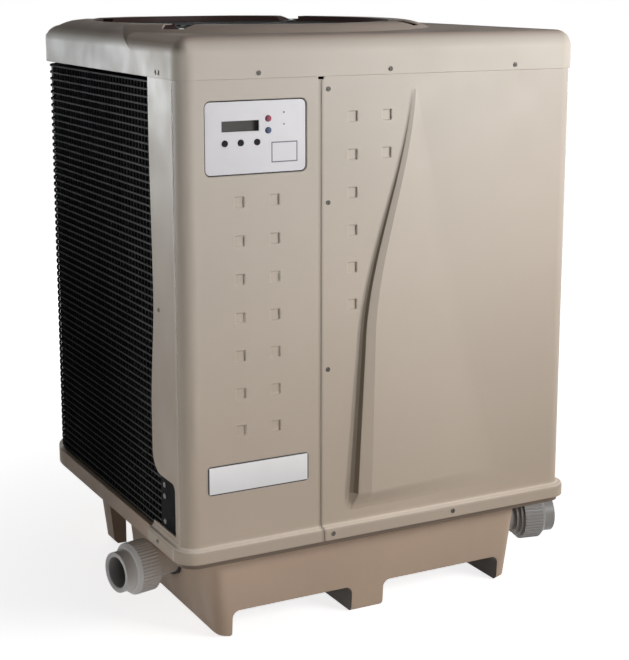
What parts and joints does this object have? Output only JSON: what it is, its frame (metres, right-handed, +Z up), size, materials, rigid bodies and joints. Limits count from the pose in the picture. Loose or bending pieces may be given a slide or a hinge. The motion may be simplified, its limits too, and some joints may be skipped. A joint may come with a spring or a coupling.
{
  "type": "pool heat pump",
  "caption": "Free-standing pool and spa heat pump: guarded wrap-round coil, top fan, control corner with push buttons, sculpted access panel and side water unions on a tapered base.",
  "frame": {"origin": "on the ground, below the middle of the overall box", "axes": "+Z up, -Y towards the front with the display, +X to the right seen from the front"},
  "size_m": [0.9666, 0.866, 1.156],
  "materials": {
    "panel": "fine-grained moulded plastic, warm light grey",
    "base": "moulded plastic, brown",
    "black_metal": "black powder coat",
    "black_plastic": "moulded black plastic",
    "fin": "black coated fins",
    "grey_pvc": "smooth grey pipe plastic",
    "white_pvc": "smooth white pipe plastic",
    "rubber": "soft black",
    "steel": "zinc plated",
    "screw": "dulled zinc",
    "copper": "drawn copper",
    "brass": "machined",
    "green_metal": "gloss enamel",
    "red_metal": "satin enamel",
    "blue_metal": "satin enamel",
    "motor": "grey enamel",
    "sheet": "galvanised sheet",
    "shell": "moulded vessel",
    "board": "circuit board with solder mask",
    "overlay": "printed film on plastic, left plain",
    "window": "clear window over a dark display",
    "key": "silicone key",
    "red_key": "silicone key",
    "blue_key": "silicone key",
    "lamp": "clear lens",
    "plate": "silvered film, left plain",
    "winding": "varnished"
  },
  "bodies": {
    "cabinet": {"base_pan": "base", "control_corner_panel": "panel", "access_panel": "panel", "top_cover": "panel", "fan_guard": "black_metal", "fan_screws": "screw", "motor_bracket": "black_metal", "fan_motor": "motor", "evaporator_fins": "fin", "evaporator_bends": "copper", "coil_end_plates": "black_metal", "coil_plate_bolts": "steel", "coil_guard_bars": "black_metal", "coil_guard_stays": "black_metal", "compressor_shell": "black_metal", "compressor_grommets": "rubber", "compressor_bolts": "steel", "compressor_terminal_cover": "black_plastic", "discharge_line": "copper", "suction_line": "copper", "liquid_line": "copper", "valve_line": "copper", "filter_drier": "green_metal", "expansion_valve": "brass", "high_pressure_switch": "red_metal", "low_pressure_switch": "blue_metal", "heat_exchanger": "shell", "heat_exchanger_stand": "motor", "heat_exchanger_clamps": "steel", "left_water_pipe": "grey_pvc", "right_water_pipe": "grey_pvc", "pipe_grommets": "rubber", "union_bodies": "grey_pvc", "union_seals": "rubber", "union_tails": "grey_pvc", "control_box": "sheet", "control_board": "board", "contactor": "black_plastic", "run_capacitor": "steel", "transformer": "winding", "terminal_block": "black_plastic", "display_plate": "overlay", "display_gasket": "rubber", "display_window": "window", "display_board": "board", "indicator_lamps": "lamp", "name_plate": "plate", "panel_screws": "screw", "condensate_drain": "white_pvc", "conduit_bushing": "black_plastic"},
    "fan": {"fan_shaft": "steel", "fan_bushing": "steel", "fan_blades": "black_plastic"},
    "left_nut": {"left_union_nut": "grey_pvc"},
    "right_nut": {"right_union_nut": "grey_pvc"},
    "left_button": {"menu_buttons_left": "key"},
    "centre_button": {"menu_buttons_centre": "key"},
    "right_button": {"menu_buttons_right": "key"},
    "heat_key": {"heat_button": "red_key"},
    "cool_key": {"cool_button": "blue_key"}
  },
  "joints": [
    {"name": "fan_spin", "type": "hinge", "parent": "cabinet", "child": "fan", "pos_m": [-0.075, 0.069, 1.094], "axis": [0, 0, 1], "continuous": true},
    {"name": "left_nut_turn", "type": "hinge", "parent": "cabinet", "child": "left_nut", "pos_m": [-0.43196, -0.17861, 0.105], "axis": [-0.9781, -0.2079, 0], "continuous": true},
    {"name": "right_nut_turn", "type": "hinge", "parent": "cabinet", "child": "right_nut", "pos_m": [0.43196, -0.28661, 0.105], "axis": [0.9781, -0.2079, 0], "continuous": true},
    {"name": "left_button_press", "type": "slide", "parent": "cabinet", "child": "left_button", "axis": [0, 1, 0], "range_m": [0, 0.001], "stiffness_N_per_m": 400, "springref_m": -0.002},
    {"name": "centre_button_press", "type": "slide", "parent": "cabinet", "child": "centre_button", "axis": [0, 1, 0], "range_m": [0, 0.001], "stiffness_N_per_m": 400, "springref_m": -0.002},
    {"name": "right_button_press", "type": "slide", "parent": "cabinet", "child": "right_button", "axis": [0, 1, 0], "range_m": [0, 0.001], "stiffness_N_per_m": 400, "springref_m": -0.002},
    {"name": "heat_key_press", "type": "slide", "parent": "cabinet", "child": "heat_key", "axis": [0, 1, 0], "range_m": [0, 0.001], "stiffness_N_per_m": 400, "springref_m": -0.002},
    {"name": "cool_key_press", "type": "slide", "parent": "cabinet", "child": "cool_key", "axis": [0, 1, 0], "range_m": [0, 0.001], "stiffness_N_per_m": 400, "springref_m": -0.002}
  ]
}
